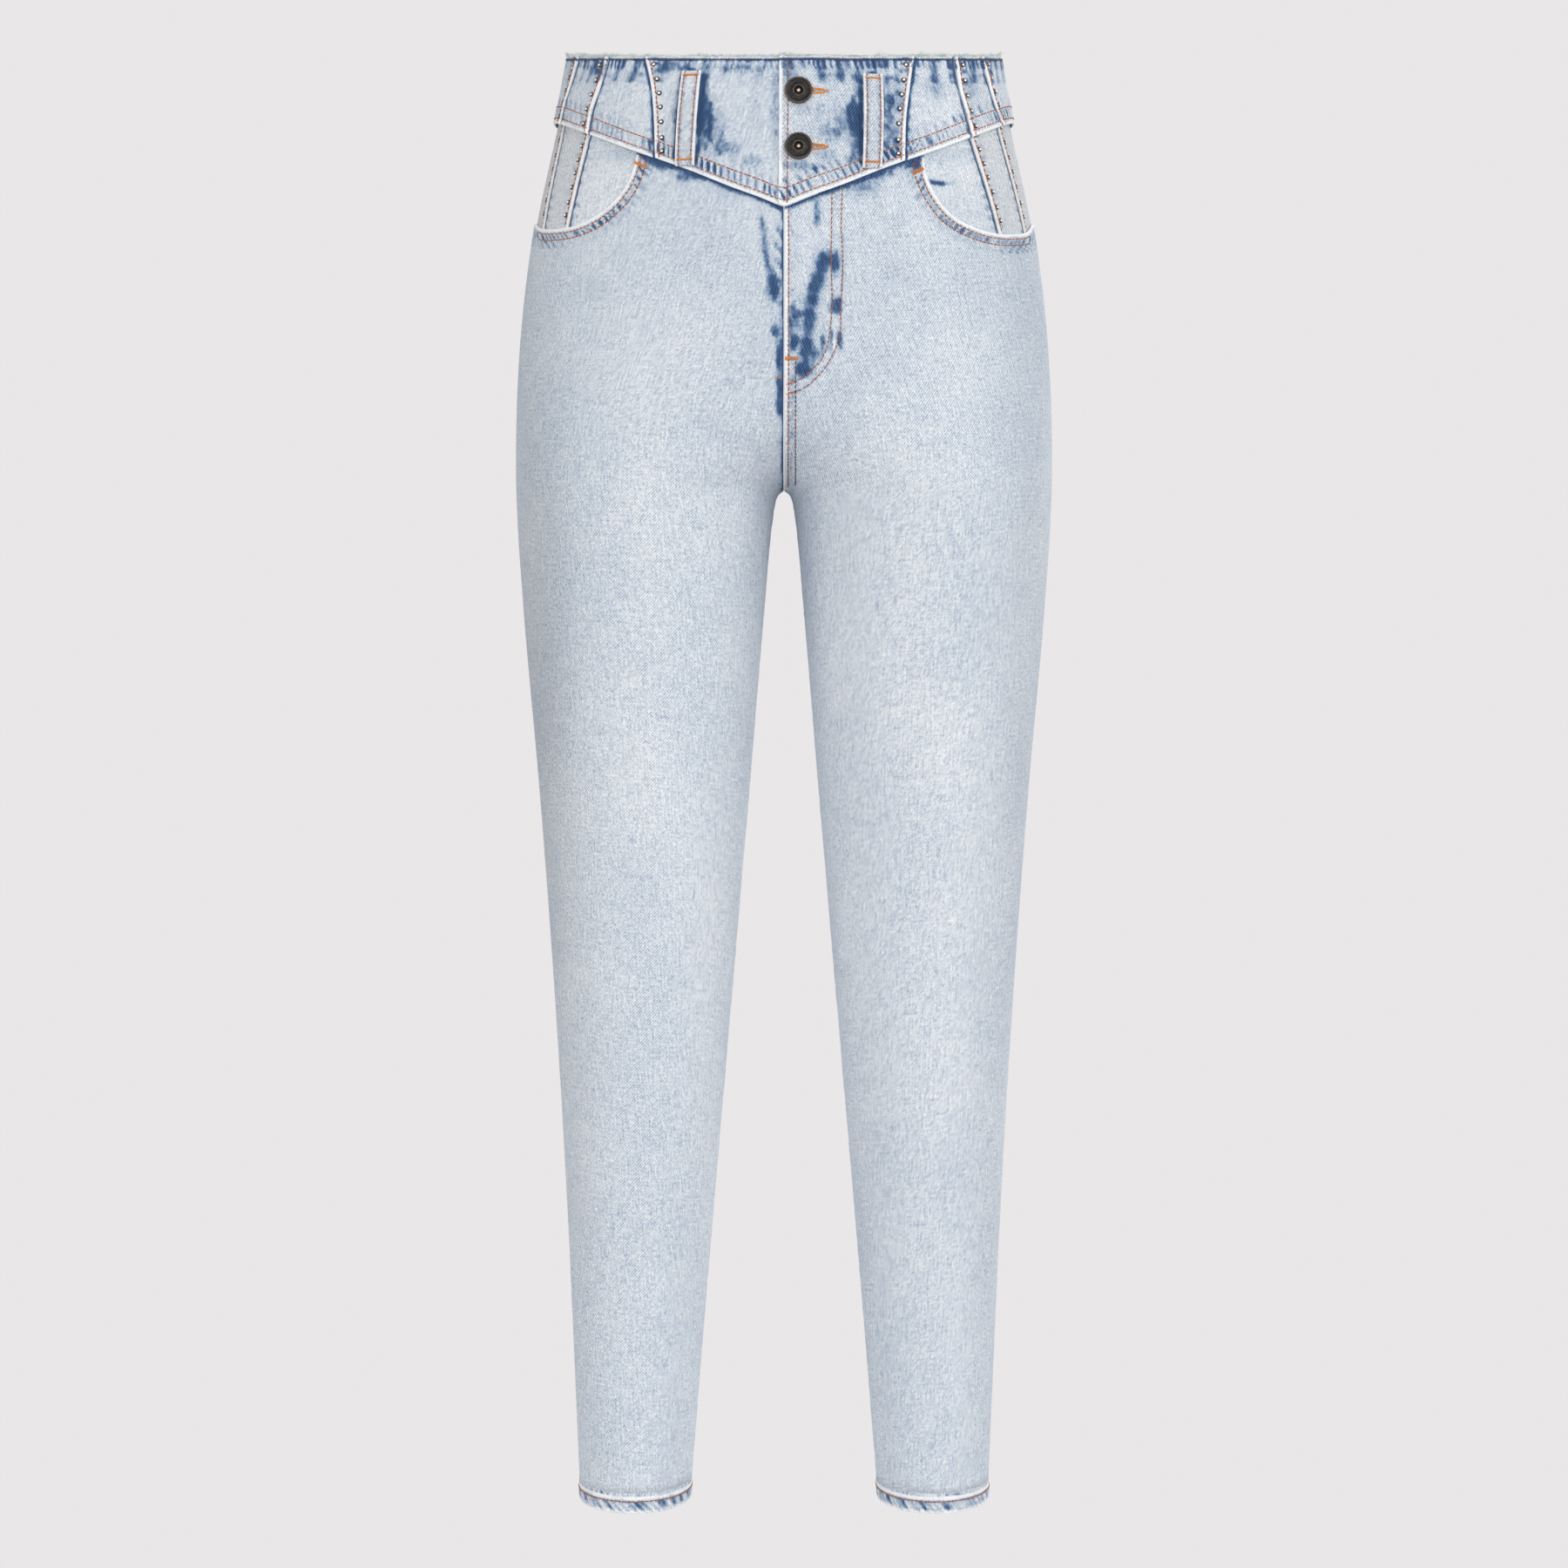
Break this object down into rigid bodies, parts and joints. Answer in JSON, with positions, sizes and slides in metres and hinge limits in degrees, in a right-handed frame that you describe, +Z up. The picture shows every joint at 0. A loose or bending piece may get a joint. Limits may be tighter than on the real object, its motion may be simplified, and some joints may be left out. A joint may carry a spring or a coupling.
{
  "type": "mom jeans",
  "caption": "High-waisted tapered ankle-length jeans with a seamed, studded V yoke, front button fastening, belt loops and scoop pockets, filled out hollow as worn.",
  "frame": {"origin": "middle of the waist opening, at the height of its raw top edge at the side seams", "axes": "+Z up along the legs, -Y out of the front, +X towards the wearer's left"},
  "size_m": [0.34, 0.237, 0.9365],
  "materials": {
    "denim": "light blue washed cotton twill, matt, worn pale on the folds",
    "denim_facing": "the same denim a shade paler, on the pocket facings",
    "button_metal": "dark gunmetal with a brushed, slightly worn ring"
  },
  "bodies": {
    "root": {"back_leg_left": "denim", "back_leg_right": "denim", "belt_loop_back_left": "denim", "belt_loop_back_right": "denim", "belt_loop_centre_back": "denim", "belt_loop_front_left": "denim", "belt_loop_front_right": "denim", "front_leg_left": "denim", "front_leg_right": "denim", "hem_left": "denim", "hem_right": "denim", "yoke_back_left": "denim", "yoke_back_right": "denim", "yoke_centre_left": "denim", "yoke_centre_right": "denim", "yoke_front_left": "denim", "yoke_front_right": "denim", "yoke_side_left": "denim", "yoke_side_right": "denim", "pocket_facing_front_left": "denim_facing", "pocket_facing_front_right": "denim_facing", "pocket_facing_middle_left": "denim_facing", "pocket_facing_middle_right": "denim_facing", "pocket_facing_side_left": "denim_facing", "pocket_facing_side_right": "denim_facing", "button_1": "button_metal", "button_2": "button_metal"}
  },
  "joints": []
}
